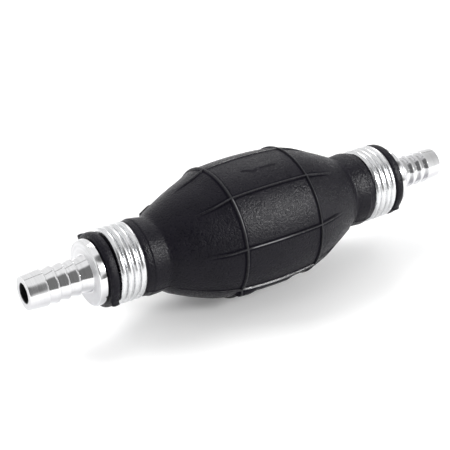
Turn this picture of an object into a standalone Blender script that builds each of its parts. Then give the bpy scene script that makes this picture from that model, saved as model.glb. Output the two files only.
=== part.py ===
"""Hand primer pump: a ribbed rubber bulb with a barbed aluminium fitting and a check valve in each end.

The bulb lies on its belly on the XY plane. Its axis runs along X, the inlet is at +X, and fuel flows
towards -X. Everything is drawn in millimetres and scaled to metres when the meshes are made.
"""
import math

import bmesh
import bpy
from mathutils import Vector

MM = 0.001

# Bulb outline: distance from the middle of the bulb and radius from its axis.
BELLY_RADIUS = 20.7
BELLY_ARC_RADIUS = 120.0
RING_STATION = 13.3
CONE_STATION = 28.5
SHOULDER_SLOPE = 0.267
CONE_SLOPE = 0.485
WALL = 3.0
CREASE_STATION = 33.9
CREASE_RADIUS = 11.3
COLLAR_STATION = 40.2
COLLAR_RADIUS = 11.9
COLLAR_ROUND = 0.6
CLAMP_GROOVE_START = 41.5
CLAMP_GROOVE_END = 50.3
CLAMP_GROOVE_RADIUS = 9.4
LIP_END = 52.9
LIP_RADIUS = 11.45
LIP_ROUND = 0.6
NECK_BORE_RADIUS = 7.8
NECK_BORE_START = 33.5

# Raised beads on the bulb.
RIB_COUNT = 8
RIB_OFFSET_DEG = -12.0
RIB_HEIGHT = 0.5
RIB_HALF_WIDTH = 0.7
RIB_FULL_TO = 18.0
RIB_ENDS_AT = 25.0
RING_HEIGHT = 0.55
RING_HALF_WIDTH = 0.7
PANEL_STEPS = 4

# Flow arrow on the panel at the top of the bulb, pointing to the outlet.
ARROW_ANGLE_DEG = 10.5
ARROW_TIP = -5.4
ARROW_HEAD_END = -1.3
ARROW_TAIL = 6.2
ARROW_HEAD_HALF = 1.9
ARROW_SHAFT_HALF = 1.1
ARROW_RELIEF = 0.25
ARROW_ROOT = 1.2

# Touching faces of separate pieces stand this far apart.
GAP = 0.3

# Fitting: stations from the middle of the bulb.
FITTING_TIP = 74.8
TIP_RADIUS = 4.8
TIP_CHAMFER = 0.2
HOSE_BORE_RADIUS = 2.95
BARB_RADIUS = 5.4
BARB_VALLEY_RADIUS = 4.6
BARB_LAND = 0.5
BARB_BACK = 0.15
BARB_FIRST = 68.8
BARB_PITCH = 3.2
BARB_COUNT = 4
NECK_RADIUS = 5.55
FLANGE_BACK = LIP_END + GAP
FLANGE_FRONT = 55.5
FLANGE_RADIUS = 9.85
FLANGE_CHAMFER = 0.4
SPIGOT_RADIUS = NECK_BORE_RADIUS - GAP
SPIGOT_END = 34.0
SPIGOT_CHAMFER = 0.4
CHAMBER_RADIUS = 5.6
CHAMBER_END = 47.5
SNAP_GROOVE_START = 34.7
SNAP_GROOVE_END = 36.1
SNAP_GROOVE_RADIUS = 6.15
SEAL_GROOVE_START = 48.4
SEAL_GROOVE_END = 50.2
SEAL_GROOVE_RADIUS = 5.9

# Clamp coil round each rubber neck.
CLAMP_WIRE_RADIUS = 0.95
CLAMP_TURNS = 3.05
CLAMP_STEPS_PER_TURN = 20
CLAMP_RADIUS = CLAMP_GROOVE_RADIUS + GAP + CLAMP_WIRE_RADIUS

# Check valve, measured along the flow from the upstream face of its seat.
SEAT_RADIUS = CHAMBER_RADIUS - GAP
SEAT_LENGTH = 2.0
SEAT_HOLE_RADIUS = 2.4
SEAT_GROOVE_DEPTH = 1.0
SEAT_GROOVE_START = 0.45
SEAT_GROOVE_END = 1.55
DISC_SEAL_START = SEAT_LENGTH + GAP
DISC_SEAL_LENGTH = 0.6
DISC_SEAL_RADIUS = 3.7
STEM_RADIUS = 1.0
STEM_CLEARANCE = 0.3
NOSE_START = 1.2
HEAD_START = DISC_SEAL_START + DISC_SEAL_LENGTH + GAP
HEAD_LENGTH = 1.0
HEAD_RADIUS = 3.9
SPRING_START = HEAD_START + HEAD_LENGTH + GAP
SPRING_LENGTH = 4.3
SPRING_RADIUS = 2.5
SPRING_WIRE_RADIUS = 0.22
SPRING_TURNS = 3.5
SPRING_STEPS_PER_TURN = 12
CAGE_START = SPRING_START + SPRING_LENGTH + GAP
CAGE_PLATE = 1.2
CAGE_LENGTH = 2.0
CAGE_RIM_WALL = 0.9
CAGE_HOLES = 6
CAGE_HOLE_RADIUS = 0.8
CAGE_HOLE_CIRCLE = 3.3
STEM_END = CAGE_START + CAGE_PLATE - GAP
SNAP_RING_LENGTH = 0.8
SNAP_RING_OUTER = SNAP_GROOVE_RADIUS - GAP
SNAP_RING_INNER = 4.6
SNAP_RING_OPENING_DEG = 50.0

SEGMENTS = 24
SMALL_SEGMENTS = 20
SEAL_SIDES = 8
HOLE_SIDES = 10
SMOOTH_ANGLE_DEG = 32.0

# The pump rests on the rib nearest to its underside.
AXIS_HEIGHT = (BELLY_RADIUS + RIB_HEIGHT) * math.cos(math.radians(RIB_OFFSET_DEG))


def clear_scene():
    """Remove every object that the scene starts with."""
    for item in list(bpy.data.objects):
        bpy.data.objects.remove(item, do_unlink=True)


def make_material(name, colour, roughness, metallic):
    """Return a Principled material."""
    material = bpy.data.materials.new(name)
    material.use_nodes = True
    shader = material.node_tree.nodes["Principled BSDF"]
    shader.inputs["Base Color"].default_value = (*colour, 1.0)
    shader.inputs["Roughness"].default_value = roughness
    shader.inputs["Metallic"].default_value = metallic
    material.diffuse_color = (*colour, 1.0)
    return material


def add_object(name, data, material, x_mm=0.0):
    """Link an object whose origin lies on the pump's axis at x_mm."""
    item = bpy.data.objects.new(name, data)
    item.location = (x_mm * MM, 0.0, AXIS_HEIGHT * MM)
    item.data.materials.append(material)
    bpy.context.scene.collection.objects.link(item)
    return item


def finish_mesh(name, mesh_builder):
    """Scale a bmesh to metres, close it, face it outwards and shade it smooth."""
    bmesh.ops.remove_doubles(mesh_builder, verts=mesh_builder.verts, dist=0.001)
    bmesh.ops.recalc_face_normals(mesh_builder, faces=mesh_builder.faces)
    bmesh.ops.scale(mesh_builder, vec=(MM, MM, MM), verts=mesh_builder.verts)
    mesh = bpy.data.meshes.new(name)
    mesh_builder.to_mesh(mesh)
    mesh_builder.free()
    mesh.shade_smooth()
    mesh.set_sharp_from_angle(angle=math.radians(SMOOTH_ANGLE_DEG))
    return mesh


def turned_mesh(name, outline, segments):
    """Spin an outline of (x, radius) points about X. A closed outline makes a ring."""
    builder = bmesh.new()
    corners = [builder.verts.new((x, 0.0, radius)) for x, radius in outline]
    for first, second in zip(corners, corners[1:]):
        builder.edges.new((first, second))
    if outline[0][1] > 0.0:
        builder.edges.new((corners[-1], corners[0]))
    geometry = list(builder.verts) + list(builder.edges)
    bmesh.ops.spin(builder, geom=geometry, cent=(0.0, 0.0, 0.0), axis=(1.0, 0.0, 0.0),
                   angle=math.tau, steps=segments, use_duplicate=False)
    return finish_mesh(name, builder)


def helix_curve(name, radius, wire_radius, start, length, turns, steps_per_turn, phase):
    """Return a wire wound round X from start to start + length."""
    curve = bpy.data.curves.new(name, "CURVE")
    curve.dimensions = "3D"
    curve.bevel_depth = wire_radius * MM
    curve.bevel_resolution = 1
    curve.use_fill_caps = True
    count = int(round(turns * steps_per_turn)) + 1
    spline = curve.splines.new("POLY")
    spline.points.add(count - 1)
    for index, point in enumerate(spline.points):
        part = index / (count - 1)
        angle = phase + part * turns * math.tau
        x = start + part * length
        y = radius * math.sin(angle)
        z = radius * math.cos(angle)
        point.co = (x * MM, y * MM, z * MM, 1.0)
    return curve


def belly_radius(station):
    """Radius of the bare bulb at a distance from its middle."""
    distance = abs(station)
    ring_sag = RING_STATION ** 2 / (2.0 * BELLY_ARC_RADIUS)
    if distance <= RING_STATION:
        return BELLY_RADIUS - distance ** 2 / (2.0 * BELLY_ARC_RADIUS)
    reach = CONE_STATION - RING_STATION
    bend = (CONE_SLOPE - SHOULDER_SLOPE) / (2.0 * reach)
    past_ring = min(distance, CONE_STATION) - RING_STATION
    past_cone = max(distance - CONE_STATION, 0.0)
    sag = ring_sag + SHOULDER_SLOPE * past_ring + bend * past_ring ** 2 + CONE_SLOPE * past_cone
    return BELLY_RADIUS - sag


def relief(station, on_rib):
    """Height of the raised beads above the bare bulb."""
    distance = abs(station)
    ring = RING_HEIGHT * max(0.0, 1.0 - abs(distance - RING_STATION) / RING_HALF_WIDTH)
    if not on_rib:
        return ring
    fade = (RIB_ENDS_AT - distance) / (RIB_ENDS_AT - RIB_FULL_TO)
    return max(ring, RIB_HEIGHT * min(1.0, max(0.0, fade)))


def bulb_outline():
    """Return one half of the shell's section, from the middle of the belly out and back inside."""
    belly = [4.5, 9.0, RING_STATION - RING_HALF_WIDTH, RING_STATION, RING_STATION + RING_HALF_WIDTH,
             RIB_FULL_TO, 21.5, RIB_ENDS_AT, CONE_STATION, 31.5]
    outer = [(station, belly_radius(station), True) for station in belly]
    neck = [(CREASE_STATION, CREASE_RADIUS), (35.6, CREASE_RADIUS + 0.35), (37.6, COLLAR_RADIUS - 0.1),
            (COLLAR_STATION, COLLAR_RADIUS), (CLAMP_GROOVE_START, COLLAR_RADIUS - COLLAR_ROUND),
            (CLAMP_GROOVE_START, CLAMP_GROOVE_RADIUS), (CLAMP_GROOVE_END, CLAMP_GROOVE_RADIUS),
            (CLAMP_GROOVE_END, LIP_RADIUS - LIP_ROUND), (CLAMP_GROOVE_END + LIP_ROUND, LIP_RADIUS),
            (LIP_END - LIP_ROUND, LIP_RADIUS), (LIP_END, LIP_RADIUS - LIP_ROUND),
            (LIP_END, NECK_BORE_RADIUS), (NECK_BORE_START, NECK_BORE_RADIUS)]
    inside = [NECK_BORE_START, CONE_STATION, 22.0, RING_STATION, 6.0]
    inner = [(station, belly_radius(station) - WALL, False) for station in inside]
    return outer + [(station, radius, False) for station, radius in neck] + inner


def bulb_angles():
    """Return (angle from the top towards -Y, on a rib's crest) for each station round the bulb."""
    half = math.degrees(RIB_HALF_WIDTH / BELLY_RADIUS)
    pitch = 360.0 / RIB_COUNT
    panel = (pitch - 2.0 * half) / PANEL_STEPS
    angles = []
    for rib in range(RIB_COUNT):
        crest = RIB_OFFSET_DEG + rib * pitch
        angles.append((crest, True))
        for step in range(PANEL_STEPS + 1):
            angles.append((crest + half + step * panel, False))
    return angles


def bulb_mesh(name):
    """Skin the shell's section round the axis, with the beads raised where they run."""
    half = bulb_outline()
    middle_outer = (0.0, belly_radius(0.0), True)
    middle_inner = (0.0, belly_radius(0.0) - WALL, False)
    mirrored = [(-station, radius, raised) for station, radius, raised in reversed(half)]
    section = [middle_outer] + half + [middle_inner] + mirrored
    builder = bmesh.new()
    columns = []
    for degrees, on_rib in bulb_angles():
        angle = math.radians(degrees)
        column = []
        for station, radius, raised in section:
            height = radius + (relief(station, on_rib) if raised else 0.0)
            column.append(builder.verts.new((station, -height * math.sin(angle), height * math.cos(angle))))
        columns.append(column)
    for left, right in zip(columns, columns[1:] + columns[:1]):
        for index in range(len(section)):
            after = (index + 1) % len(section)
            builder.faces.new((left[index], left[after], right[after], right[index]))
    return finish_mesh(name, builder)


def arrow_mesh(name):
    """A flat arrow block that stands on the top panel of the bulb and points to -X."""
    outline = [(ARROW_TIP, 0.0), (ARROW_HEAD_END, ARROW_HEAD_HALF), (ARROW_HEAD_END, ARROW_SHAFT_HALF),
               (ARROW_TAIL, ARROW_SHAFT_HALF), (ARROW_TAIL, -ARROW_SHAFT_HALF),
               (ARROW_HEAD_END, -ARROW_SHAFT_HALF), (ARROW_HEAD_END, -ARROW_HEAD_HALF)]
    builder = bmesh.new()
    base = BELLY_RADIUS - ARROW_ROOT
    face = builder.faces.new([builder.verts.new((x, y, base)) for x, y in outline])
    raised = bmesh.ops.extrude_face_region(builder, geom=[face])
    top = [item for item in raised["geom"] if isinstance(item, bmesh.types.BMVert)]
    bmesh.ops.translate(builder, verts=top, vec=Vector((0.0, 0.0, ARROW_ROOT + ARROW_RELIEF)))
    return finish_mesh(name, builder)


def add_bulb(material):
    """Add the rubber shell and join the flow arrow to it."""
    shell = add_object("bulb_shell", bulb_mesh("bulb_shell"), material)
    arrow = add_object("arrow_guide", arrow_mesh("arrow_guide"), material)
    arrow.rotation_euler = (math.radians(ARROW_ANGLE_DEG), 0.0, 0.0)
    arrow.hide_render = True
    arrow.display_type = "WIRE"
    union = shell.modifiers.new("raise_arrow", "BOOLEAN")
    union.operation = "UNION"
    union.object = arrow
    union.solver = "EXACT"


def barb_outline():
    """Outer line of the hose barb, from the tip to the foot of the last cone on the flange."""
    points = [(FITTING_TIP, TIP_RADIUS - TIP_CHAMFER), (FITTING_TIP - TIP_CHAMFER, TIP_RADIUS)]
    for barb in range(BARB_COUNT):
        back = BARB_FIRST - barb * BARB_PITCH
        points.append((back + BARB_LAND, BARB_RADIUS))
        points.append((back, BARB_RADIUS))
        points.append((back - BARB_BACK, BARB_VALLEY_RADIUS))
    points.append((FLANGE_FRONT, NECK_RADIUS))
    return points


def fitting_outline():
    """Whole section of a fitting: barb, flange, spigot, valve chamber and hose bore."""
    flange = [(FLANGE_FRONT, FLANGE_RADIUS - FLANGE_CHAMFER), (FLANGE_FRONT - FLANGE_CHAMFER, FLANGE_RADIUS),
              (FLANGE_BACK, FLANGE_RADIUS), (FLANGE_BACK, SPIGOT_RADIUS)]
    spigot = [(SEAL_GROOVE_END, SPIGOT_RADIUS), (SEAL_GROOVE_END, SEAL_GROOVE_RADIUS),
              (SEAL_GROOVE_START, SEAL_GROOVE_RADIUS), (SEAL_GROOVE_START, SPIGOT_RADIUS),
              (SPIGOT_END + SPIGOT_CHAMFER, SPIGOT_RADIUS), (SPIGOT_END, SPIGOT_RADIUS - SPIGOT_CHAMFER)]
    chamber = [(SPIGOT_END, CHAMBER_RADIUS), (SNAP_GROOVE_START, CHAMBER_RADIUS),
               (SNAP_GROOVE_START, SNAP_GROOVE_RADIUS), (SNAP_GROOVE_END, SNAP_GROOVE_RADIUS),
               (SNAP_GROOVE_END, CHAMBER_RADIUS), (CHAMBER_END, CHAMBER_RADIUS),
               (CHAMBER_END, HOSE_BORE_RADIUS), (FITTING_TIP, HOSE_BORE_RADIUS)]
    return barb_outline() + flange + spigot + chamber


def add_end_pieces(end, side, aluminium, steel, rubber):
    """Add the pieces that are alike at both ends. side is -1 at the outlet and +1 at the inlet."""
    outline = [(side * station, radius) for station, radius in fitting_outline()]
    add_object(end + "_fitting", turned_mesh(end + "_fitting", outline, SEGMENTS), aluminium)

    low = CLAMP_GROOVE_START + GAP + CLAMP_WIRE_RADIUS
    high = CLAMP_GROOVE_END - GAP - CLAMP_WIRE_RADIUS
    first = low if side > 0 else -high
    coil = helix_curve(end + "_clamp_coil", CLAMP_RADIUS, CLAMP_WIRE_RADIUS, first, high - low,
                       CLAMP_TURNS, CLAMP_STEPS_PER_TURN, math.pi)
    add_object(end + "_clamp_coil", coil, steel)

    section = (SPIGOT_RADIUS + GAP - SEAL_GROOVE_RADIUS) / 2.0 - GAP
    middle = side * (SEAL_GROOVE_START + SEAL_GROOVE_END) / 2.0
    ring = round_ring(end + "_neck_seal", SEAL_GROOVE_RADIUS + GAP + section, section)
    add_object(end + "_neck_seal", ring, rubber, middle)

    snap_start = side * (SNAP_GROOVE_START + GAP)
    snap = snap_ring_mesh(end + "_retaining_ring", side * SNAP_RING_LENGTH)
    add_object(end + "_retaining_ring", snap, steel, snap_start)


def round_ring(name, ring_radius, section_radius):
    """An O-ring about X."""
    outline = []
    for side in range(SEAL_SIDES):
        angle = math.tau * side / SEAL_SIDES
        outline.append((section_radius * math.cos(angle), ring_radius + section_radius * math.sin(angle)))
    return turned_mesh(name, outline, SMALL_SEGMENTS)


def snap_ring_mesh(name, length):
    """An open flat ring whose opening is at its underside."""
    opening = math.radians(SNAP_RING_OPENING_DEG)
    start = math.pi + opening / 2.0
    sweep = math.tau - opening
    builder = bmesh.new()
    columns = []
    for step in range(SMALL_SEGMENTS + 1):
        angle = start + sweep * step / SMALL_SEGMENTS
        corners = [(0.0, SNAP_RING_INNER), (length, SNAP_RING_INNER),
                   (length, SNAP_RING_OUTER), (0.0, SNAP_RING_OUTER)]
        columns.append([builder.verts.new((x, radius * math.sin(angle), radius * math.cos(angle)))
                        for x, radius in corners])
    for left, right in zip(columns, columns[1:]):
        for index in range(len(left)):
            after = (index + 1) % len(left)
            builder.faces.new((left[index], left[after], right[after], right[index]))
    builder.faces.new(columns[0])
    builder.faces.new(columns[-1])
    return finish_mesh(name, builder)


def add_seat(end, seat_x, plastic, rubber):
    """Add the seat ring and the seal round it. The flow runs towards -X from seat_x."""
    inner = SEAT_RADIUS - SEAT_GROOVE_DEPTH
    outline = [(0.0, SEAT_RADIUS), (-SEAT_GROOVE_START, SEAT_RADIUS), (-SEAT_GROOVE_START, inner),
               (-SEAT_GROOVE_END, inner), (-SEAT_GROOVE_END, SEAT_RADIUS), (-SEAT_LENGTH, SEAT_RADIUS),
               (-SEAT_LENGTH, SEAT_HOLE_RADIUS), (0.0, SEAT_HOLE_RADIUS)]
    add_object(end + "_valve_seat", turned_mesh(end + "_valve_seat", outline, SMALL_SEGMENTS), plastic, seat_x)
    section = (CHAMBER_RADIUS - inner) / 2.0 - GAP / 2.0
    section = min(section, (SEAT_GROOVE_END - SEAT_GROOVE_START) / 2.0) - GAP / 2.0
    ring = round_ring(end + "_seat_seal", (CHAMBER_RADIUS + inner) / 2.0, section)
    add_object(end + "_seat_seal", ring, rubber, seat_x - (SEAT_GROOVE_START + SEAT_GROOVE_END) / 2.0)


def add_poppet(end, seat_x, plastic, rubber):
    """Add the moving valve head with its stem, and the seal disc on its face."""
    outline = [(-NOSE_START, 0.0), (-NOSE_START, STEM_RADIUS), (-HEAD_START, STEM_RADIUS),
               (-HEAD_START, HEAD_RADIUS), (-HEAD_START - HEAD_LENGTH, HEAD_RADIUS),
               (-HEAD_START - HEAD_LENGTH, STEM_RADIUS), (-STEM_END, STEM_RADIUS), (-STEM_END, 0.0)]
    add_object(end + "_poppet", turned_mesh(end + "_poppet", outline, SMALL_SEGMENTS), plastic, seat_x)
    front = -DISC_SEAL_START
    back = front - DISC_SEAL_LENGTH
    bore = STEM_RADIUS + STEM_CLEARANCE
    disc = [(front, bore), (front, DISC_SEAL_RADIUS), (back, DISC_SEAL_RADIUS), (back, bore)]
    add_object(end + "_poppet_seal", turned_mesh(end + "_poppet_seal", disc, SMALL_SEGMENTS), rubber, seat_x)


def add_spring(end, seat_x, steel):
    """Add the spring that closes the valve."""
    run = SPRING_LENGTH - 2.0 * SPRING_WIRE_RADIUS
    start = -SPRING_START - SPRING_WIRE_RADIUS - run
    wire = helix_curve(end + "_valve_spring", SPRING_RADIUS, SPRING_WIRE_RADIUS, start, run,
                       SPRING_TURNS, SPRING_STEPS_PER_TURN, 0.0)
    add_object(end + "_valve_spring", wire, steel, seat_x)


def add_cage(end, seat_x, plastic):
    """Add the drilled plate that guides the stem and carries the spring."""
    bore = STEM_RADIUS + STEM_CLEARANCE
    plate_end = -CAGE_START - CAGE_PLATE
    rim_end = -CAGE_START - CAGE_LENGTH
    outline = [(-CAGE_START, bore), (-CAGE_START, SEAT_RADIUS), (rim_end, SEAT_RADIUS),
               (rim_end, SEAT_RADIUS - CAGE_RIM_WALL), (plate_end, SEAT_RADIUS - CAGE_RIM_WALL),
               (plate_end, bore)]
    cage = add_object(end + "_spring_cage", turned_mesh(end + "_spring_cage", outline, SMALL_SEGMENTS),
                      plastic, seat_x)
    drills = add_object(end + "_cage_drills", drill_mesh(end + "_cage_drills"), plastic, seat_x)
    drills.hide_render = True
    drills.display_type = "WIRE"
    cut = cage.modifiers.new("flow_holes", "BOOLEAN")
    cut.operation = "DIFFERENCE"
    cut.object = drills
    cut.solver = "EXACT"


def drill_mesh(name):
    """A ring of rods parallel to X that cut the flow holes."""
    builder = bmesh.new()
    front = -CAGE_START + GAP
    back = -CAGE_START - CAGE_LENGTH
    for hole in range(CAGE_HOLES):
        bearing = math.tau * (hole + 0.5) / CAGE_HOLES
        y = CAGE_HOLE_CIRCLE * math.sin(bearing)
        z = CAGE_HOLE_CIRCLE * math.cos(bearing)
        loops = []
        for x in (front, back):
            loop = []
            for side in range(HOLE_SIDES):
                angle = math.tau * side / HOLE_SIDES
                loop.append(builder.verts.new((x, y + CAGE_HOLE_RADIUS * math.sin(angle),
                                               z + CAGE_HOLE_RADIUS * math.cos(angle))))
            builder.faces.new(loop)
            loops.append([builder.edges.get((a, b)) for a, b in zip(loop, loop[1:] + loop[:1])])
        bmesh.ops.bridge_loops(builder, edges=loops[0] + loops[1])
    return finish_mesh(name, builder)


def main():
    """Build the pump."""
    clear_scene()
    rubber = make_material("bulb_rubber", (0.018, 0.018, 0.020), 0.5, 0.0)
    aluminium = make_material("turned_aluminium", (0.86, 0.87, 0.88), 0.25, 1.0)
    clamp_steel = make_material("zinc_plated_wire", (0.80, 0.81, 0.83), 0.22, 1.0)
    valve_plastic = make_material("valve_plastic", (0.72, 0.71, 0.66), 0.45, 0.0)
    spring_steel = make_material("spring_steel", (0.60, 0.61, 0.63), 0.30, 1.0)
    seal_rubber = make_material("seal_rubber", (0.030, 0.030, 0.032), 0.55, 0.0)

    add_bulb(rubber)
    seat_positions = {"outlet": -SNAP_GROOVE_END, "inlet": CHAMBER_END - GAP}
    for end, side in (("outlet", -1), ("inlet", 1)):
        add_end_pieces(end, side, aluminium, clamp_steel, seal_rubber)
        seat_x = seat_positions[end]
        add_seat(end, seat_x, valve_plastic, seal_rubber)
        add_poppet(end, seat_x, valve_plastic, seal_rubber)
        add_spring(end, seat_x, spring_steel)
        add_cage(end, seat_x, valve_plastic)


main()
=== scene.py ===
"""Looks of the siphon bulb pump: rubber bulb, turned aluminium barbs and wire clamps in soft light."""
import math

import bpy
import numpy as np
from mathutils import Matrix, Vector


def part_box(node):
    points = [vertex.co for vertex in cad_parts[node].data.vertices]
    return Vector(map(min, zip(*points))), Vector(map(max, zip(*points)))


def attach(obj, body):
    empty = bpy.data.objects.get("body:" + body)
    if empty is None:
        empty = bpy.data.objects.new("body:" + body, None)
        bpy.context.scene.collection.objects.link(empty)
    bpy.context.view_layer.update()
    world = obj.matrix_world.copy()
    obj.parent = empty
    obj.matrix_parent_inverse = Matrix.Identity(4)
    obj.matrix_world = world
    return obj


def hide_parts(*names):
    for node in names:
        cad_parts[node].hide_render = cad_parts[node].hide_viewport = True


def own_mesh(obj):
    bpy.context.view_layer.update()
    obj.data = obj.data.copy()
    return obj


MM = 0.001
MICRON = 0.000001

# The two ends of the pump, as signs along X.
OUTLET = -1
INLET = 1

# Outlines: the steps that one rounding takes, and the largest share of a side that it may use.
ROUNDING_STEPS = 5
ROUNDING_SHARE = 0.49

# Bulb, in millimetres from the middle of the bulb and from its axis.
BELLY_RADIUS = 20.7
BELLY_ARC_RADIUS = 120.0
RING_STATION = 13.3
CONE_STATION = 28.5
SHOULDER_SLOPE = 0.267
CONE_SLOPE = 0.485
BELLY_END = 31.5
WALL = 3.0
INNER_ROWS = 31
SHELL_SHARP_DEGREES = 50.0

# Rubber necks. A RISE or FADE pair holds the stations where a shape begins and where it is full.
CREASE_STATION = 33.85
CREASE_RADIUS = 11.25
COLLAR_FROM = 35.3
COLLAR_CREST = 38.9
COLLAR_STEP = 39.2
COLLAR_SHOULDER = 40.9
COLLAR_RADIUS = {OUTLET: 11.75, INLET: 11.95}
CLAMP_GROOVE_FROM = 41.5
CLAMP_GROOVE_TO = 50.0
CLAMP_GROOVE_RADIUS = 9.4
LIP_CREST = 51.35
LIP_SHOULDER = 52.75
LIP_RADIUS = {OUTLET: 11.2, INLET: 11.8}
LIP_DROP = 0.25
NECK_END = 52.9
NECK_END_RADIUS = 9.9
NECK_BORE_RADIUS = 7.8
NECK_BORE_START = 33.5
NECK_SPACING = 0.45
SAG_DEPTH = 0.65
SAG_RISE = (-12.0, -19.0)
SAG_FADE = (-42.0, -31.0)

# Spacing of the shell's points, which is finer near the rings and ribs.
COARSE_STEP = 0.33
FINE_STEP = 0.07
FINE_HALF_WIDTH = 0.85

# Raised rings and ribs, flat on top and eased down to their edges. A groove runs along each foot, and it
# is left out wherever a ring or rib is higher than GROOVE_BEAD_LIMIT.
RIB_COUNT = 8
RIB_PITCH = math.tau / RIB_COUNT
RIB_OFFSET = math.radians(-12.0)
RIB_HEIGHT = 0.46
RIB_FLAT = 0.14
RIB_EDGE = 0.42
RIB_FADE = (26.0, 17.0)
RING_HEIGHT = 0.52
RING_FLAT = 0.14
RING_EDGE = 0.44
GROOVE_OFFSET = 0.60
GROOVE_FLAT = 0.02
GROOVE_EDGE = 0.32
GROOVE_DEPTH = 0.40
GROOVE_BEAD_LIMIT = 0.3

# Parting lines at the front and the far side, found only on the outer skin, and the spare rubber along them:
# a roll below the front line, whose two sides are distances from it, a lump on the roll, a fin on the far
# line, and flash on the lips.
PARTING_ANGLE = RIB_OFFSET + 3 * RIB_PITCH
PARTING_HEIGHT = 0.18
PARTING_FLAT = 0.05
PARTING_EDGE = 0.26
OUTER_SKIN_RADIUS = CLAMP_GROOVE_RADIUS + 1.4
ROLL_HEIGHT = 0.70
ROLL_RISE = (-14.2, -13.6)
ROLL_FADE = (8.0, 3.0)
ROLL_UPPER_SIDE = (-0.2, 1.6)
ROLL_LOWER_SIDE = (5.5, 2.5)
LUMP_HEIGHT = 0.65
LUMP_STATION = -12.0
LUMP_HALF_FLAT = 1.0
LUMP_HALF_LENGTH = 5.0
FAR_FIN_HEIGHT = 0.65
FAR_FIN_FLAT = 0.15
FAR_FIN_EDGE = 0.5
FAR_FIN_STATION = -30.0
FAR_FIN_HALF_LENGTH = 4.0
FLASH_HEIGHT = {OUTLET: 1.0, INLET: 0.3}
FLASH_HALF_ANGLE = math.radians(6.0)
FLASH_FROM = 50.3

# Painted highlights: light grey lines painted on some crests where light glints. The ring's stretch lies
# between two ribs, so its fades are angles.
PAINTED_HIGHLIGHT_FLAT = 0.05
PAINTED_HIGHLIGHT_HALF_WIDTH = 0.22
FRONT_PAINTED_HIGHLIGHT = 0.75
FRONT_PAINTED_HIGHLIGHT_SHIFT = 0.06
FRONT_PAINTED_HIGHLIGHT_RISE = (-12.5, -10.5)
FRONT_PAINTED_HIGHLIGHT_FADE = (5.0, -4.0)
PARTING_HIGHLIGHT_WIDTH_SHARE = 0.8
PARTING_HIGHLIGHT_SHIFT = 0.12
PARTING_HIGHLIGHT_RISE = (-13.0, -11.0)
PARTING_HIGHLIGHT_FADE = (6.0, -2.0)
RING_HIGHLIGHT = 0.50
RING_HIGHLIGHT_SHIFT = 0.04
RING_HIGHLIGHT_RISE = 0.06
RING_HIGHLIGHT_FADE = 0.5

# Flow arrow, pointing to the outlet at -X.
ARROW_ANGLE = RIB_OFFSET + 0.5 * RIB_PITCH
ARROW_TIP = -5.4
ARROW_NOTCH = -1.3
ARROW_TAIL = 6.2
ARROW_OVERLAP = 0.5
ARROW_HEAD_HALF = 1.9
ARROW_SHAFT_HALF = 1.1
ARROW_HEIGHT = 0.24
ARROW_EDGE = 0.14
ARROW_WEAR = 0.1

# Turned fittings.
TURNED_COLUMNS = 144
TURNED_SPACING = 1.2
TURNED_SHARP_DEGREES = 13.0
EDGE_ROUNDING = 0.05
TIP = 74.4
TIP_RADIUS = 4.95
TIP_BEVEL = 0.15
BORE_RADIUS = 2.95
BARB_RADIUS = 5.4
BARB_VALLEY = 4.6
BARB_FIRST = 68.8
BARB_PITCH = 3.2
BARB_COUNT = 4
BARB_LAND = 0.55
BARB_LAND_DROP = 0.04
BARB_LEAN = 0.12
BARB_ROOT_RADIUS = 5.55
FLANGE_FACE = 55.5
FLANGE_BACK = 53.2
FLANGE_RADIUS = 9.85
FLANGE_BEVEL = (0.4, 0.45)
SPIGOT_RADIUS = 7.5
SPIGOT_END = 34.0
SPIGOT_BEVEL = 0.4
SEAL_GROOVE = (50.2, 48.4)
SEAL_GROOVE_RADIUS = 5.9
CHAMBER_RADIUS = 5.6
CHAMBER_END = 47.5
RING_GROOVE = (34.7, 36.1)
RING_GROOVE_RADIUS = 6.15

# Valve springs.
SPRING_RADIUS = 2.5
SPRING_WIRE_RADIUS = 0.22
SPRING_TURNS = 3.5
SPRING_STEPS = 40

# Clamp wire. Its radius tapers over the last steps, down to a share of the full one.
WIRE_RADIUS = 1.03
WIRE_SINK = {OUTLET: 0.04, INLET: 0.38}
WIRE_PITCH = 2.08
WIRE_TURNS = 3.8
WIRE_FIRST = 41.55
WIRE_STEPS = 72
WIRE_SIDES = 20
WIRE_SHARP_DEGREES = 50.0
WIRE_START = math.radians(-60.0)
WIRE_TAPER_STEPS = 1.5
WIRE_END_SHARE = 0.55

# Colours.
RUBBER_DARK = (0.0050, 0.0044, 0.0078, 1)
RUBBER_LIGHT = (0.0080, 0.0070, 0.0115, 1)
RUBBER_WORN = (0.028, 0.028, 0.030, 1)
RUBBER_CREST = (0.075, 0.075, 0.080, 1)
# Painted highlight colour of the crest lines.
RUBBER_PAINTED_HIGHLIGHT = (0.36, 0.36, 0.37, 1)
RUBBER_DUST = (0.075, 0.075, 0.078, 1)
ALUMINIUM_DARK = (0.75, 0.75, 0.76, 1)
ALUMINIUM_LIGHT = (0.85, 0.85, 0.86, 1)
ALUMINIUM_DULL_AND_SHADE = (0.60, 0.60, 0.62, 1)
ALUMINIUM_VALLEY_SHADE = (0.30, 0.30, 0.31, 1)
ALUMINIUM_BORE_SHADE = (0.02, 0.02, 0.022, 1)
CLAMP_DARK = (0.60, 0.61, 0.62, 1)
CLAMP_LIGHT = (0.88, 0.88, 0.89, 1)
SPRING_DARK = (0.48, 0.49, 0.51, 1)
SPRING_LIGHT = (0.68, 0.69, 0.71, 1)
ACETAL_DARK = (0.66, 0.64, 0.57, 1)
ACETAL_LIGHT = (0.77, 0.76, 0.70, 1)
NITRILE_DARK = (0.018, 0.018, 0.019, 1)
NITRILE_LIGHT = (0.034, 0.034, 0.036, 1)
PAPER_DARK = (0.90, 0.90, 0.90, 1)
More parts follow.
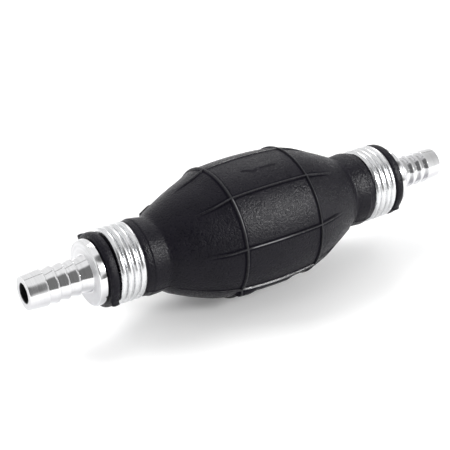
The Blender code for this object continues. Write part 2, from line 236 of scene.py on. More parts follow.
PAPER_LIGHT = (0.93, 0.93, 0.93, 1)
WHITE = (1.0, 1.0, 1.0, 1.0)

# Least and most roughness of the wires' streaks.
CLAMP_ROUGHNESS = (0.20, 0.28)
SPRING_ROUGHNESS = (0.20, 0.32)

# Radii between which the aluminium changes, in millimetres: painted shade in the bore and in the barb
# valleys, and a rougher finish on the flange face.
BORE_SHADE_BAND = (3.00, 3.12)
VALLEY_SHADE_BAND = (4.62, 4.75)
FACE_INNER_BAND = (5.6, 5.9)
FACE_OUTER_BAND = (9.4, 9.6)

# Paper sheet, in metres.
FLOOR_RADIUS = 1.0
FLOOR_SIDES = 96
FLOOR_GLOW = 0.14

# Lights: places and sizes in metres, powers in watts. The front fill stands where the front box does.
LIGHT_TARGET = (0.0, 0.0, 0.02)
KEY_PLACE = (-0.52, 0.42, 0.75)
KEY_SIZE = (0.40, 0.40)
KEY_POWER = 4.3
BACK_PLACE = (0.47, 0.53, 0.69)
BACK_SIZE = (0.40, 0.35)
BACK_POWER = 1.6
FRONT_PLACE = (0.42, -0.63, 0.47)
FRONT_SIZE = (0.25, 0.20)
FRONT_POWER = 14.0
FRONT_FILL_POWER = 3.8

# Light tent. Each opening: direction, angles where it is darkest and where it ends, light left over.
TENT_LIGHT = 0.97
OPENINGS = [((-0.45, -0.75, 0.48), math.radians(36.0), math.radians(50.0), 0.20),
            ((0.473, -0.33, 0.81), math.radians(7.0), math.radians(17.0), 0.15),
            ((0.473, -0.88, 0.04), math.radians(6.0), math.radians(14.0), 0.15),
            ((0.97, 0.0, 0.24), math.radians(8.0), math.radians(48.0), 0.50)]
SEAM_ACROSS = (-0.302, 0.855, -0.421)
SEAM_CORE = 0.018
SEAM_EDGE = 0.045
SEAM_LIGHT = 0.30

# Camera: the bulb's middle lies at CAMERA_OFFSET (right, down, forward), in metres, from the lens.
CAMERA_SENSOR = 36.0
CAMERA_LENS = 88.87
CAMERA_SHIFT = (0.0046, -0.0191)
CAMERA_NEAREST = 0.01
CAMERA_AZIMUTH = math.radians(-32.86)
CAMERA_TILT = math.radians(29.22)
CAMERA_OFFSET = (0.00767, 0.00150, 0.34073)


def smooth_step(value):
    """0 below 0, 1 above 1, smooth between."""
    part = np.clip(value, 0.0, 1.0)
    return part * part * (3.0 - 2.0 * part)


def eased(value, start, full):
    """0 up to start, 1 from full on, smooth between; full may be the lower of the two."""
    return smooth_step((value - start) / (full - start))


def ridge(distance, flat, edge):
    """Section of a raised line: 1 within flat of its middle, 0 beyond edge."""
    return eased(np.abs(distance), edge, flat)


def wrap(angle):
    """The angle brought into the half turn on either side of zero."""
    return (angle + math.pi) % math.tau - math.pi


def rounded(corners):
    """Line through (x, radius, rounding) corners, each one eased over its rounding."""
    points = []
    for index, (x, radius, size) in enumerate(corners):
        corner = np.array([x, radius])
        if size == 0.0 or index in (0, len(corners) - 1):
            points.append(corner)
            continue
        before = np.array(corners[index - 1][:2]) - corner
        after = np.array(corners[index + 1][:2]) - corner
        start = corner + before * min(ROUNDING_SHARE, size / np.linalg.norm(before))
        end = corner + after * min(ROUNDING_SHARE, size / np.linalg.norm(after))
        for step in range(ROUNDING_STEPS + 1):
            t = step / ROUNDING_STEPS
            points.append((1 - t) ** 2 * start + 2 * t * (1 - t) * corner + t * t * end)
    return points


def filled_in(points, spacing):
    """The same line with extra points so that none are further apart than spacing."""
    dense = [points[0]]
    for first, second in zip(points, points[1:]):
        count = max(1, int(np.ceil(np.linalg.norm(second - first) / spacing)))
        for step in range(1, count + 1):
            dense.append(first + (second - first) * step / count)
    return dense


def mesh_object(name, vertices, faces, sharp_degrees):
    """Make a smooth-shaded mesh from vertices in metres; edges over sharp_degrees stay sharp."""
    mesh = bpy.data.meshes.new(name)
    mesh.from_pydata(vertices.tolist(), [], faces)
    mesh.validate()
    mesh.shade_smooth()
    if sharp_degrees:
        mesh.set_sharp_from_angle(angle=math.radians(sharp_degrees))
    item = bpy.data.objects.new(name, mesh)
    bpy.context.scene.collection.objects.link(item)
    return item


def on_axis(x, across, up):
    """Vertices in metres from millimetre arrays measured from the pump's axis."""
    return np.stack([x, across, up], axis=2).reshape(-1, 3) * MM + np.array([0.0, 0.0, AXIS])


def grid_faces(rows, columns, closed=True):
    """Faces between rows that each close on themselves; closed also joins the last row to the first."""
    faces = []
    last = rows if closed else rows - 1
    for row in range(last):
        after_row = (row + 1) % rows
        for column in range(columns):
            after = (column + 1) % columns
            faces.append((row * columns + column, row * columns + after,
                          after_row * columns + after, after_row * columns + column))
    return faces


def turned(name, outline):
    """Turn a closed outline of (x, radius) about the pump's axis."""
    line = np.array(outline)
    angles = np.arange(TURNED_COLUMNS) * math.tau / TURNED_COLUMNS
    x = np.repeat(line[:, 0:1], TURNED_COLUMNS, axis=1)
    across = -line[:, 1:2] * np.sin(angles)[None, :]
    up = line[:, 1:2] * np.cos(angles)[None, :]
    faces = grid_faces(len(line), TURNED_COLUMNS)
    return mesh_object(name, on_axis(x, across, up), faces, TURNED_SHARP_DEGREES)


def belly_radius(station):
    """Radius of the bare bulb at stations along its axis."""
    distance = np.abs(station)
    bend = (CONE_SLOPE - SHOULDER_SLOPE) / (2.0 * (CONE_STATION - RING_STATION))
    past_ring = np.clip(distance, RING_STATION, CONE_STATION) - RING_STATION
    past_cone = np.maximum(distance - CONE_STATION, 0.0)
    barrel = np.minimum(distance, RING_STATION) ** 2 / (2.0 * BELLY_ARC_RADIUS)
    shoulder = BELLY_RADIUS - barrel - SHOULDER_SLOPE * past_ring - bend * past_ring ** 2
    return shoulder - CONE_SLOPE * past_cone


def marched(low, high, centres):
    """Stations from low to high, close together near the centres."""
    line = [low]
    while line[-1] < high - FINE_STEP:
        near = min(abs(line[-1] - centre) for centre in centres) < FINE_HALF_WIDTH
        line.append(line[-1] + (FINE_STEP if near else COARSE_STEP))
    line[-1] = high
    return np.array(line)


def bulb_angles():
    """Angles round the bulb, close together at the ribs."""
    half_pitch = RIB_PITCH * BELLY_RADIUS / 2.0
    one_rib = marched(-half_pitch, half_pitch, [0.0])[:-1] / BELLY_RADIUS
    return np.concatenate([one_rib + RIB_OFFSET + rib * RIB_PITCH for rib in range(RIB_COUNT)])


def neck_line(side):
    """One neck's outer line: crease, collar, clamp groove and end lip, and back along the bore."""
    cone_end = float(belly_radius(np.array(BELLY_END)))
    collar = COLLAR_RADIUS[side]
    lip = LIP_RADIUS[side]
    # Each corner is a station, a radius and how far it is rounded.
    corners = [(BELLY_END, cone_end, 0.0),
               (CREASE_STATION, CREASE_RADIUS, 0.9),
               (COLLAR_FROM, collar - 0.3, 1.0),
               (COLLAR_CREST, collar, 0.4),
               (COLLAR_STEP, collar - 0.25, 0.1),
               (COLLAR_SHOULDER, collar - 0.45, 0.4),
               (CLAMP_GROOVE_FROM, collar - 1.0, 0.3),
               (CLAMP_GROOVE_FROM, CLAMP_GROOVE_RADIUS, 0.0),
               (CLAMP_GROOVE_TO, CLAMP_GROOVE_RADIUS, 0.0),
               (CLAMP_GROOVE_TO, lip - LIP_DROP, 0.5),
               (LIP_CREST, lip, 0.5),
               (LIP_SHOULDER, lip - LIP_DROP, 0.6),
               (NECK_END, NECK_END_RADIUS, 0.3),
               (NECK_END, NECK_BORE_RADIUS, 0.0)]
    return filled_in(rounded(corners), NECK_SPACING) + [np.array([NECK_BORE_START, NECK_BORE_RADIUS])]


def sag(station):
    """How far the soft cone at the outlet end hangs below the axis."""
    return SAG_DEPTH * eased(station, *SAG_RISE) * eased(station, *SAG_FADE)


def bulb_section():
    """Return the shell's closed section and, for each of its points, whether it is on the belly."""
    inlet_neck = neck_line(INLET)
    outlet_neck = [np.array([-x, radius]) for x, radius in reversed(neck_line(OUTLET))]
    stations = marched(-BELLY_END, BELLY_END, [-RING_STATION, RING_STATION])
    belly = list(np.stack([stations, belly_radius(stations)], axis=1))
    inner_stations = np.linspace(NECK_BORE_START, -NECK_BORE_START, INNER_ROWS)
    inner = list(np.stack([inner_stations, belly_radius(inner_stations) - WALL], axis=1))
    points = belly[:-1] + inlet_neck + inner + outlet_neck[:-1]
    belly_count = len(belly) - 1
    on_belly = [True] * belly_count + [False] * (len(points) - belly_count)
    return np.array(points), np.array(on_belly)


def from_rib(radius, angle):
    """Signed distance round the bulb from the nearest rib's middle."""
    return ((angle - RIB_OFFSET + RIB_PITCH / 2.0) % RIB_PITCH - RIB_PITCH / 2.0) * radius


def bead_height(station, radius, angle):
    """Height of the rings and ribs, in millimetres."""
    distance = np.abs(station)
    rings = RING_HEIGHT * ridge(distance - RING_STATION, RING_FLAT, RING_EDGE)
    ribs = RIB_HEIGHT * eased(distance, *RIB_FADE) * ridge(from_rib(radius, angle), RIB_FLAT, RIB_EDGE)
    return np.maximum(rings, ribs)


def groove_depth(station, radius, angle):
    """Depth of the fine grooves the mould leaves along both feet of each ring and rib."""
    distance = np.abs(station)
    by_ring = ridge(np.abs(distance - RING_STATION) - GROOVE_OFFSET, GROOVE_FLAT, GROOVE_EDGE)
    by_rib = ridge(np.abs(from_rib(radius, angle)) - GROOVE_OFFSET, GROOVE_FLAT, GROOVE_EDGE)
    return GROOVE_DEPTH * np.maximum(by_ring, eased(distance, *RIB_FADE) * by_rib)


def arrow_height(station, radius, angle):
    """Height of the flow arrow."""
    across = np.abs(wrap(angle - ARROW_ANGLE) * radius)
    slope = ARROW_HEAD_HALF / (ARROW_NOTCH - ARROW_TIP)
    inside_edge = (slope * (station - ARROW_TIP) - across) / math.hypot(1.0, slope)
    head = np.minimum(ARROW_NOTCH - station, inside_edge)
    length = np.minimum(ARROW_TAIL - station, station - ARROW_NOTCH + ARROW_OVERLAP)
    shaft = np.minimum(length, ARROW_SHAFT_HALF - across)
    return ARROW_HEIGHT * smooth_step(0.5 + np.maximum(head, shaft) / (2.0 * ARROW_EDGE))


def flash_roll(station, below):
    """Roll of spare rubber just below the front parting line, thickest where it meets the outlet ring."""
    along = ROLL_HEIGHT * eased(station, *ROLL_FADE)
    along = along + LUMP_HEIGHT * ridge(station - LUMP_STATION, LUMP_HALF_FLAT, LUMP_HALF_LENGTH)
    along = along * eased(station, *ROLL_RISE)
    return along * eased(below, *ROLL_UPPER_SIDE) * eased(below, *ROLL_LOWER_SIDE)


def painted_highlight_amount(station, radius, angle):
    """Strength of the painted highlight lines on the front rib, the parting line and the outlet ring between
    two ribs.
    """
    front_rib = RIB_OFFSET + 2 * RIB_PITCH
    upper_rib = RIB_OFFSET + RIB_PITCH
    on_front = ridge(wrap(angle - front_rib) * radius + FRONT_PAINTED_HIGHLIGHT_SHIFT, PAINTED_HIGHLIGHT_FLAT, PAINTED_HIGHLIGHT_HALF_WIDTH)
    on_front = on_front * eased(station, *FRONT_PAINTED_HIGHLIGHT_RISE) * eased(station, *FRONT_PAINTED_HIGHLIGHT_FADE)
    on_parting = ridge(wrap(angle - PARTING_ANGLE) * radius + PARTING_HIGHLIGHT_SHIFT, PAINTED_HIGHLIGHT_FLAT,
                       PARTING_HIGHLIGHT_WIDTH_SHARE * PAINTED_HIGHLIGHT_HALF_WIDTH)
    on_parting = on_parting * eased(station, *PARTING_HIGHLIGHT_RISE) * eased(station, *PARTING_HIGHLIGHT_FADE)
    on_ring = ridge(station + RING_STATION - RING_HIGHLIGHT_SHIFT, PAINTED_HIGHLIGHT_FLAT, PAINTED_HIGHLIGHT_HALF_WIDTH)
    on_ring = on_ring * eased(angle, upper_rib, upper_rib + RING_HIGHLIGHT_RISE)
    on_ring = on_ring * eased(angle, front_rib, front_rib - RING_HIGHLIGHT_FADE)
    return np.maximum(np.maximum(FRONT_PAINTED_HIGHLIGHT * on_front, on_parting), RING_HIGHLIGHT * on_ring)


def add_attribute(item, name, values):
    """Give each of a mesh's vertices one number for its material to read."""
    attribute = item.data.attributes.new(name, "FLOAT", "POINT")
    attribute.data.foreach_set("value", np.ascontiguousarray(values.reshape(-1), dtype=np.float32))


def make_bulb():
    """Make the fine rubber shell with its beads, grooves, arrow, parting lines and spare rubber."""
    section, on_belly = bulb_section()
    angles = bulb_angles()
    on_belly = on_belly[:, None]
    station = section[:, 0:1] + 0.0 * angles[None, :]
    radius = section[:, 1:2] + 0.0 * angles[None, :]
    angle = angles[None, :] + 0.0 * station
    seam = wrap(angle - PARTING_ANGLE)
    far_seam = wrap(angle - PARTING_ANGLE + math.pi)
    outer = (radius > OUTER_SKIN_RADIUS) & ((np.abs(station) > NECK_BORE_START) | on_belly)
    on_lip = outer & (np.abs(station) > FLASH_FROM)

    bead = bead_height(station, radius, angle) * on_belly
    groove = groove_depth(station, radius, angle) * on_belly * (bead < GROOVE_BEAD_LIMIT)
    arrow = arrow_height(station, radius, angle) * on_belly
    roll = flash_roll(station, seam * radius) * on_belly
    parting = PARTING_HEIGHT * np.maximum(ridge(seam * radius, PARTING_FLAT, PARTING_EDGE),
                                          ridge(far_seam * radius, PARTING_FLAT, PARTING_EDGE)) * outer
    flash = np.maximum(ridge(seam, 0.0, FLASH_HALF_ANGLE), ridge(far_seam, 0.0, FLASH_HALF_ANGLE))
    flash = np.where(station < 0.0, FLASH_HEIGHT[OUTLET], FLASH_HEIGHT[INLET]) * flash * on_lip
    far_fin = FAR_FIN_HEIGHT * ridge(far_seam * radius, FAR_FIN_FLAT, FAR_FIN_EDGE) * outer
    far_fin = far_fin * ridge(station - FAR_FIN_STATION, 0.5 * FAR_FIN_HALF_LENGTH, FAR_FIN_HALF_LENGTH)

    height = radius + np.maximum(bead + parting - groove, roll) + arrow + flash + far_fin
    vertices = on_axis(station, -height * np.sin(angle), height * np.cos(angle) - sag(station))
    bulb = mesh_object("bulb_rubber", vertices, grid_faces(len(section), len(angles)), SHELL_SHARP_DEGREES)
    worn = np.maximum(bead / RING_HEIGHT, arrow / ARROW_HEIGHT * ARROW_WEAR)
    # The bead number falls below zero in the grooves, where the material lowers the specular as painted
    # shade.
    add_attribute(bulb, "bead", worn - groove / GROOVE_DEPTH)
    # This number marks where light grey lines are painted on as highlights.
    add_attribute(bulb, "painted_highlight", painted_highlight_amount(station, radius, angle) * on_belly)
    return bulb


def barb_corners():
    """Corners of the hose barb's outer line, from the bore's mouth to the last ridge."""
    corners = [(TIP - 2.0 * TIP_BEVEL, BORE_RADIUS, 0.0),
               (TIP, BORE_RADIUS + TIP_BEVEL, EDGE_ROUNDING),
               (TIP, TIP_RADIUS - TIP_BEVEL, EDGE_ROUNDING),
               (TIP - TIP_BEVEL, TIP_RADIUS, EDGE_ROUNDING)]
    for barb in range(BARB_COUNT):
        back = BARB_FIRST - barb * BARB_PITCH
        corners += [(back + BARB_LAND, BARB_RADIUS - BARB_LAND_DROP, BARB_LAND_DROP),
                    (back, BARB_RADIUS, EDGE_ROUNDING),
                    (back - BARB_LEAN, BARB_VALLEY, EDGE_ROUNDING)]
    return corners


def flange_corners():
    """Corners of the flange, from the barb's root to the spigot."""
    bevel_along, bevel_in = FLANGE_BEVEL
    return [(FLANGE_FACE, BARB_ROOT_RADIUS, 0.1),
            (FLANGE_FACE, FLANGE_RADIUS - bevel_in, 0.06),
            (FLANGE_FACE - bevel_along, FLANGE_RADIUS, 0.06),
            (FLANGE_BACK, FLANGE_RADIUS, 0.2),
            (FLANGE_BACK, SPIGOT_RADIUS, 0.0)]


def groove_corners(stations, edge_radius, floor_radius):
    """The four square corners of a turned groove, in the order of its two stations."""
    first, second = stations
    return [(first, edge_radius, 0.0), (first, floor_radius, 0.0),
            (second, floor_radius, 0.0), (second, edge_radius, 0.0)]


def make_fitting(name, side):
    """Make a turned fitting: barb, flange, spigot, seal groove, valve chamber and bore."""
    corners = barb_corners() + flange_corners()
    corners += groove_corners(SEAL_GROOVE, SPIGOT_RADIUS, SEAL_GROOVE_RADIUS)
    corners += [(SPIGOT_END + SPIGOT_BEVEL, SPIGOT_RADIUS, 0.3),
                (SPIGOT_END, SPIGOT_RADIUS - SPIGOT_BEVEL, 0.2),
                (SPIGOT_END, CHAMBER_RADIUS, 0.0)]
    corners += groove_corners(RING_GROOVE, CHAMBER_RADIUS, RING_GROOVE_RADIUS)
    corners += [(CHAMBER_END, CHAMBER_RADIUS, 0.0), (CHAMBER_END, BORE_RADIUS, 0.0)]
    line = filled_in(rounded(corners), TURNED_SPACING)
    outline = [(side * x, radius) for x, radius in line]
    if side == OUTLET:
        outline.reverse()
    return turned(name, outline)


def wound(name, station, angle, coil_radius, wire_radius):
    """Round wire wound about the pump's axis, through a station, angle and wire radius for each step."""
    ring = np.arange(WIRE_SIDES) * math.tau / WIRE_SIDES
    wire = wire_radius[:, None]
    x = station[:, None] + wire * np.cos(ring)[None, :]
    radius = coil_radius + wire * np.sin(ring)[None, :]
    vertices = on_axis(x, -radius * np.sin(angle)[:, None], radius * np.cos(angle)[:, None])
    faces = grid_faces(len(station), WIRE_SIDES, closed=False)
    faces.append(tuple(range(WIRE_SIDES)))
    faces.append(tuple(reversed(range((len(station) - 1) * WIRE_SIDES, len(station) * WIRE_SIDES))))
    return mesh_object(name, vertices, faces, WIRE_SHARP_DEGREES)


def make_clamp(name, side):
    """Wind the clamp wire, with its ends ground down."""
    turn = np.linspace(0.0, WIRE_TURNS, int(WIRE_TURNS * WIRE_STEPS) + 1)
    from_end = np.minimum(turn, WIRE_TURNS - turn) * WIRE_STEPS
    taper = np.maximum(np.clip(from_end / WIRE_TAPER_STEPS, 0.0, 1.0) ** 0.5, WIRE_END_SHARE)
    run = turn if side == OUTLET else WIRE_TURNS - turn
    station = side * (WIRE_FIRST + WIRE_PITCH * run)
    coil_radius = CLAMP_GROOVE_RADIUS + WIRE_SINK[side] + WIRE_RADIUS
    return wound(name, station, WIRE_START + turn * math.tau, coil_radius, WIRE_RADIUS * taper)


def make_spring(name, start, end):
    """Wind a valve spring between two places along the axis, in metres."""
    turn = np.linspace(0.0, SPRING_TURNS, int(SPRING_TURNS * SPRING_STEPS) + 1)
    first = start / MM + SPRING_WIRE_RADIUS
    run = (end - start) / MM - 2.0 * SPRING_WIRE_RADIUS
    wire = np.full(len(turn), SPRING_WIRE_RADIUS)
    return wound(name, first + run * turn / SPRING_TURNS, turn * math.tau, SPRING_RADIUS, wire)


class Nodes:
    """Short way to wire up one material's nodes."""

    def __init__(self, name):
        self.material = bpy.data.materials.new(name)
        self.material.use_nodes = True
        self.tree = self.material.node_tree
        self.shader = self.tree.nodes["Principled BSDF"]

    def add(self, kind, settings=None, **inputs):
        """Add a node; inputs are values or sockets, named as in Blender or numbered _0, _1 and on."""
        node = self.tree.nodes.new(kind)
        for key, value in (settings or {}).items():
            setattr(node, key, value)
        for key, value in inputs.items():
            self.put(node.inputs[int(key[1:]) if key[1:].isdigit() else key], value)
        return node

    def put(self, socket, value):
        """Link a socket, or set its value."""
        if isinstance(value, bpy.types.NodeSocket):
            self.tree.links.new(value, socket)
        else:
            socket.default_value = value

    def shade(self, **inputs):
        """Set or link the shader's inputs; underscores stand for spaces."""
        for key, value in inputs.items():
            self.put(self.shader.inputs[key.replace("_", " ")], value)

    def math(self, operation, first, second=0.0):
        """One Math node."""
        return self.add("ShaderNodeMath", {"operation": operation}, _0=first, _1=second).outputs[0]

    def remap(self, value, low, high, out_low, out_high):
        """Clamped linear remap."""
        node = self.add("ShaderNodeMapRange", _0=value, _1=low, _2=high, _3=out_low, _4=out_high)
        return node.outputs[0]

    def share(self, value, low=0.3, high=0.7):
        """0 at low, 1 at high and clamped beyond them; the usual ends suit a noise."""
        return self.remap(value, low, high, 0.0, 1.0)

    def band(self, radius, ends, out_low, out_high):
        """Remap of a radius in metres between two radii in millimetres."""
        return self.remap(radius, ends[0] * MM, ends[1] * MM, out_low, out_high)

    def noise(self, vector, scale, detail=3.0, roughness=0.5):
        """Noise whose scale counts per metre."""
        node = self.add("ShaderNodeTexNoise", Vector=vector, Scale=scale, Detail=detail, Roughness=roughness)
        return node.outputs["Fac"]

    def attribute(self, name):
        """A number that the mesh holds for each vertex."""
        return self.add("ShaderNodeAttribute", {"attribute_name": name}).outputs["Fac"]

    def blend(self, part, first, second):
        """Mix two colours."""
        node = self.add("ShaderNodeMix", {"data_type": "RGBA"}, _0=part)
        self.put(node.inputs[6], first)
        self.put(node.inputs[7], second)
        return node.outputs[2]

    def scaled(self, value, factor):
        """A value times a factor."""
        return self.math("MULTIPLY", value, factor)

    def bump(self, height, distance, strength=1.0, normal=None):
        """Bump whose distance is in metres."""
        node = self.add("ShaderNodeBump", Height=height, Distance=distance, Strength=strength)
        if normal is not None:
            self.put(node.inputs["Normal"], normal)
        return node.outputs["Normal"]

    def place(self):
        """Object coordinates."""
        return self.add("ShaderNodeTexCoord").outputs["Object"]


def rubber_material():
    """Black moulded rubber: grain, mottling and dust, grooves with lowered specular as painted shade, worn
    crests, and painted highlight lines on some crests.
    """
    n = Nodes("moulded_rubber")
    place = n.place()
    mottle = n.noise(place, 160.0, detail=4.0, roughness=0.55)
    grain = n.noise(place, 3600.0, detail=2.0, roughness=0.6)
    coarse = n.noise(place, 1700.0, detail=2.0, roughness=0.7)
    specks = n.share(n.noise(place, 2600.0, detail=1.0, roughness=0.4), 0.70, 0.76)
    bead = n.attribute("bead")
    colour = n.blend(n.share(mottle), RUBBER_DARK, RUBBER_LIGHT)
    colour = n.blend(n.scaled(bead, 0.55), colour, RUBBER_WORN)
    colour = n.blend(n.remap(bead, 0.72, 0.87, 0.0, 0.32), colour, RUBBER_CREST)
    # Painted highlight: light grey lines on some crests.
    colour = n.blend(n.scaled(n.attribute("painted_highlight"), 0.9), colour, RUBBER_PAINTED_HIGHLIGHT)
    colour = n.blend(n.scaled(specks, 0.30), colour, RUBBER_DUST)
    rough = n.math("ADD", n.remap(mottle, 0.25, 0.75, 0.34, 0.40), n.remap(coarse, 0.35, 0.65, -0.16, 0.16))
    rough = n.math("SUBTRACT", rough, n.scaled(bead, 0.12))
    off_crest = n.remap(bead, 0.0, 0.6, 1.0, 0.1)
    normal = n.bump(coarse, 220 * MICRON, off_crest, n.bump(grain, 8 * MICRON, off_crest))
    # Painted shade: the specular falls in the grooves along the beads, so that they show as dark lines.
    n.shade(Base_Color=colour, Roughness=rough, Normal=normal,
            Specular_IOR_Level=n.remap(bead, -0.5, 0.0, 0.015, 0.13))
    return n.material


def axis_parts(n):
    """Distance along the pump's axis, height over it and distance from it, in metres."""
    parts = n.add("ShaderNodeSeparateXYZ", Vector=n.place()).outputs
    height = n.math("SUBTRACT", parts["Z"], AXIS)
    squares = n.math("ADD", n.math("MULTIPLY", parts["Y"], parts["Y"]), n.math("MULTIPLY", height, height))
    return parts["X"], height, n.math("SQRT", squares)


def in_rings(n, along, radius):
    """Coordinates that make a noise run in rings about the pump's axis."""
    return n.add("ShaderNodeCombineXYZ", X=along, Y=radius, Z=0.0).outputs["Vector"]


def aluminium_material():
    """Bright turned aluminium: tool lines and marks, dull flange faces, and painted shade on the undersides,
    in the barb valleys and in the bore.
    """
    n = Nodes("turned_aluminium")
    along, height, radius = axis_parts(n)
    rings = in_rings(n, along, radius)
    lines = n.noise(rings, 3200.0, detail=2.0, roughness=0.6)
    bands = n.noise(rings, 900.0, detail=2.0, roughness=0.6)
    marks = n.noise(n.place(), 420.0, detail=4.0, roughness=0.6)
    # Painted shade in the barb valleys.
    valley_shade = n.band(radius, VALLEY_SHADE_BAND, 1.0, 0.0)
    # Painted shade in the bore.
    bore = n.band(radius, BORE_SHADE_BAND, 1.0, 0.0)
    face = n.math("MULTIPLY", n.band(radius, FACE_INNER_BAND, 0.0, 1.0),
                  n.band(radius, FACE_OUTER_BAND, 1.0, 0.0))
    # Painted shade: the faces that look down are darker.
    under = n.share(n.math("DIVIDE", height, radius), 0.1, -0.35)
    tone = n.blend(n.share(bands), ALUMINIUM_DARK, ALUMINIUM_LIGHT)
    tone = n.blend(n.scaled(n.share(marks, 0.58, 0.72), 0.25), tone, ALUMINIUM_DULL_AND_SHADE)
    tone = n.blend(n.scaled(valley_shade, 0.35), tone, ALUMINIUM_VALLEY_SHADE)
    # Painted shade on the undersides, in the colour the marks also use.
    tone = n.blend(n.scaled(under, 0.85), tone, ALUMINIUM_DULL_AND_SHADE)
    tone = n.blend(n.scaled(bore, 0.95), tone, ALUMINIUM_BORE_SHADE)
    rough = n.math("ADD", n.remap(lines, 0.25, 0.75, 0.05, 0.14), n.remap(marks, 0.4, 0.7, 0.0, 0.06))
    rough = n.math("ADD", rough, n.scaled(face, 0.42))
    rough = n.math("ADD", rough, n.scaled(bore, 0.4))
    normal = n.bump(lines, 3 * MICRON, 1.0, n.bump(bands, 6 * MICRON))
    n.shade(Base_Color=tone, Metallic=1.0, Roughness=rough, Normal=normal)
    return n.material


def wire_material(name, dark, light, roughness):
    """Drawn wire: streaks along its length and slightly dull patches."""
    smoothest, roughest = roughness
    n = Nodes(name)
    along, _, radius = axis_parts(n)
    streak = n.noise(in_rings(n, along, radius), 2200.0, detail=2.0, roughness=0.6)
    patches = n.noise(n.place(), 520.0, detail=4.0, roughness=0.6)
    tone = n.blend(n.share(streak), dark, light)
    rough = n.math("ADD", n.remap(streak, 0.3, 0.7, smoothest, roughest),
                   n.remap(patches, 0.45, 0.7, 0.0, 0.08))
    normal = n.bump(streak, MICRON, 1.0, n.bump(patches, 4 * MICRON, 0.6))
    n.shade(Base_Color=tone, Metallic=1.0, Roughness=rough, Normal=normal)
    return n.material


def plastic_material():
    """Natural acetal with moulding mottle."""
    n = Nodes("natural_acetal")
    place = n.place()
    mottle = n.noise(place, 380.0, detail=4.0)
    fine = n.noise(place, 6000.0, detail=2.0)
    tone = n.blend(n.share(mottle), ACETAL_DARK, ACETAL_LIGHT)
    n.shade(Base_Color=tone, Roughness=n.remap(fine, 0.3, 0.7, 0.34, 0.46), Normal=n.bump(fine, 6 * MICRON))
    return n.material


def seal_material():
    """Matt nitrile."""
    n = Nodes("nitrile_seal")
    place = n.place()
    mottle = n.noise(place, 700.0)
    fine = n.noise(place, 7000.0, detail=2.0)
    tone = n.blend(mottle, NITRILE_DARK, NITRILE_LIGHT)
    n.shade(Base_Color=tone, Roughness=n.remap(fine, 0.3, 0.7, 0.50, 0.62), Normal=n.bump(fine, 8 * MICRON))
    return n.material


def floor_material():
    """White paper that glows a little, so that it stays white up to the tent."""
    n = Nodes("white_paper")
    fine = n.noise(n.place(), 60.0)
    n.shade(Base_Color=n.blend(fine, PAPER_DARK, PAPER_LIGHT), Roughness=0.9,
            Normal=n.bump(fine, 20 * MICRON), Emission_Color=WHITE, Emission_Strength=FLOOR_GLOW)
    return n.material


def paint(item, material):
    """Give an object one material."""
    item.data.materials.clear()
    item.data.materials.append(material)


def make_floor():
    """A round sheet of paper under the pump."""
    turn = np.arange(FLOOR_SIDES) * math.tau / FLOOR_SIDES
    vertices = np.stack([FLOOR_RADIUS * np.cos(turn), FLOOR_RADIUS * np.sin(turn), 0.0 * turn], axis=1)
    floor = mesh_object("paper_sheet", vertices, [tuple(range(FLOOR_SIDES))], 0.0)
    paint(floor, floor_material())


def add_area(name, place, size, power, glossy=True, diffuse=True):
    """Add a soft rectangular light aimed at the pump.

    With glossy off it leaves no reflection, and with diffuse off it makes reflections only.
    """
    data = bpy.data.lights.new(name, "AREA")
    data.shape = "RECTANGLE"
    data.size, data.size_y = size
    data.energy = power
    lamp = bpy.data.objects.new(name, data)
    lamp.location = place
    aim = Vector(LIGHT_TARGET) - Vector(place)
    lamp.rotation_euler = aim.to_track_quat("-Z", "Y").to_euler()
    lamp.visible_glossy = glossy
    lamp.visible_diffuse = diffuse
    bpy.context.scene.collection.objects.link(lamp)


def facing(tree, direction, toward):
    """How closely a direction points toward another one."""
    node = tree.nodes.new("ShaderNodeVectorMath")
    node.operation = "DOT_PRODUCT"
    tree.links.new(direction, node.inputs[0])
    node.inputs[1].default_value = Vector(toward).normalized()
    return node.outputs["Value"]


def dim(tree, light, value, start, end, left_over):
    """Bring the light down to left_over of itself as value goes from start to end."""
    shade = tree.nodes.new("ShaderNodeMapRange")
    shade.interpolation_type = "SMOOTHSTEP"
    tree.links.new(value, shade.inputs["Value"])
    shade.inputs["From Min"].default_value = start
    shade.inputs["From Max"].default_value = end
    shade.inputs["To Min"].default_value = 1.0
    shade.inputs["To Max"].default_value = left_over
    product = tree.nodes.new("ShaderNodeMath")
    product.operation = "MULTIPLY"
    tree.links.new(shade.outputs["Result"], product.inputs[0])
    if isinstance(light, bpy.types.NodeSocket):
        tree.links.new(light, product.inputs[1])
    else:
        product.inputs[1].default_value = light
    return product.outputs[0]


def add_room():
    """A white light tent with dark openings and a seam across its roof."""
    world = bpy.data.worlds.new("light_tent")
    world.use_nodes = True
    tree = world.node_tree
    direction = tree.nodes.new("ShaderNodeTexCoord").outputs["Generated"]
    light = TENT_LIGHT
    for toward, inner, outer, left_over in OPENINGS:
        match = facing(tree, direction, toward)
        light = dim(tree, light, match, math.cos(outer), math.cos(inner), left_over)
    across = tree.nodes.new("ShaderNodeMath")
    across.operation = "ABSOLUTE"
    tree.links.new(facing(tree, direction, SEAM_ACROSS), across.inputs[0])
    light = dim(tree, light, across.outputs[0], SEAM_EDGE, SEAM_CORE, SEAM_LIGHT)
    tree.links.new(light, tree.nodes["Background"].inputs["Strength"])
    tree.nodes["Background"].inputs["Color"].default_value = WHITE
    bpy.context.scene.world = world


def add_light():
    """A key behind on the left, a box behind on the right, and a gleam and a fill in front."""
    add_area("key_light", KEY_PLACE, KEY_SIZE, KEY_POWER, glossy=False)
    add_area("back_box", BACK_PLACE, BACK_SIZE, BACK_POWER)
    add_area("front_box", FRONT_PLACE, FRONT_SIZE, FRONT_POWER, diffuse=False)
    add_area("front_fill", FRONT_PLACE, FRONT_SIZE, FRONT_FILL_POWER, glossy=False)
    add_room()


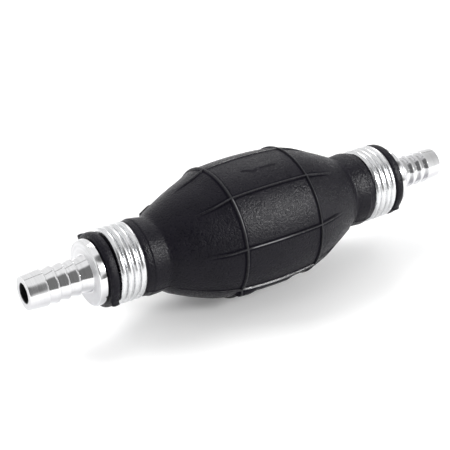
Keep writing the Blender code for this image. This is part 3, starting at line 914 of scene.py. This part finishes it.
def add_camera():
    """Camera low on the outlet's side, looking down along the pump."""
    data = bpy.data.cameras.new("camera")
    data.sensor_width = CAMERA_SENSOR
    data.lens = CAMERA_LENS
    data.shift_x, data.shift_y = CAMERA_SHIFT
    data.clip_start = CAMERA_NEAREST
    camera = bpy.data.objects.new("camera", data)
    right = Vector((math.cos(CAMERA_AZIMUTH), math.sin(CAMERA_AZIMUTH), 0.0))
    level = Vector((-math.sin(CAMERA_AZIMUTH), math.cos(CAMERA_AZIMUTH), 0.0))
    forward = level * math.cos(CAMERA_TILT) - Vector((0.0, 0.0, math.sin(CAMERA_TILT)))
    up = right.cross(forward)
    turn = Matrix((right, up, -forward)).transposed()
    middle = Vector((0.0, 0.0, AXIS))
    offset = right * CAMERA_OFFSET[0] - up * CAMERA_OFFSET[1] + forward * CAMERA_OFFSET[2]
    camera.matrix_world = Matrix.Translation(middle - offset) @ turn.to_4x4()
    bpy.context.scene.collection.objects.link(camera)
    bpy.context.scene.camera = camera


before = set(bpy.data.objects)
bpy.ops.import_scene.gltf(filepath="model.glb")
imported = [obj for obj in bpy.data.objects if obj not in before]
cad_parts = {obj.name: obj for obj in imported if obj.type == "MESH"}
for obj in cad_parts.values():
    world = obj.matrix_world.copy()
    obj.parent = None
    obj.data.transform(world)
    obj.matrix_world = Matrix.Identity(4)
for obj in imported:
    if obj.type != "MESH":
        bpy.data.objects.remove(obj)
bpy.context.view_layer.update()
inlet_low, inlet_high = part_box("inlet_fitting")
AXIS = (inlet_low[2] + inlet_high[2]) / 2.0

rubber = rubber_material()
aluminium = aluminium_material()
clamp_steel = wire_material("zinc_plated_wire", CLAMP_DARK, CLAMP_LIGHT, CLAMP_ROUGHNESS)
spring_steel = wire_material("stainless_spring", SPRING_DARK, SPRING_LIGHT, SPRING_ROUGHNESS)
plastic = plastic_material()
seal = seal_material()

bulb = make_bulb()
paint(bulb, rubber)
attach(bulb, "pump_body")
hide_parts("bulb_shell")

carried = {"neck_seal": seal, "seat_seal": seal, "poppet_seal": seal, "poppet": plastic,
           "valve_seat": plastic, "spring_cage": plastic, "retaining_ring": spring_steel}
for end, side in (("outlet", OUTLET), ("inlet", INLET)):
    fitting = make_fitting(end + "_turned_fitting", side)
    paint(fitting, aluminium)
    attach(fitting, "pump_body")
    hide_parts(end + "_fitting")
    clamp = make_clamp(end + "_wire_clamp", side)
    paint(clamp, clamp_steel)
    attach(clamp, "pump_body")
    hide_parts(end + "_clamp_coil")
    spring_low, spring_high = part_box(end + "_valve_spring")
    spring = make_spring(end + "_spring_wire", spring_low[0], spring_high[0])
    paint(spring, spring_steel)
    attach(spring, "pump_body")
    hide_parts(end + "_valve_spring")
    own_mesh(spring)
    for piece, material in carried.items():
        paint(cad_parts[end + "_" + piece], material)

make_floor()
add_light()
add_camera()
bpy.context.scene.view_settings.view_transform = "Standard"
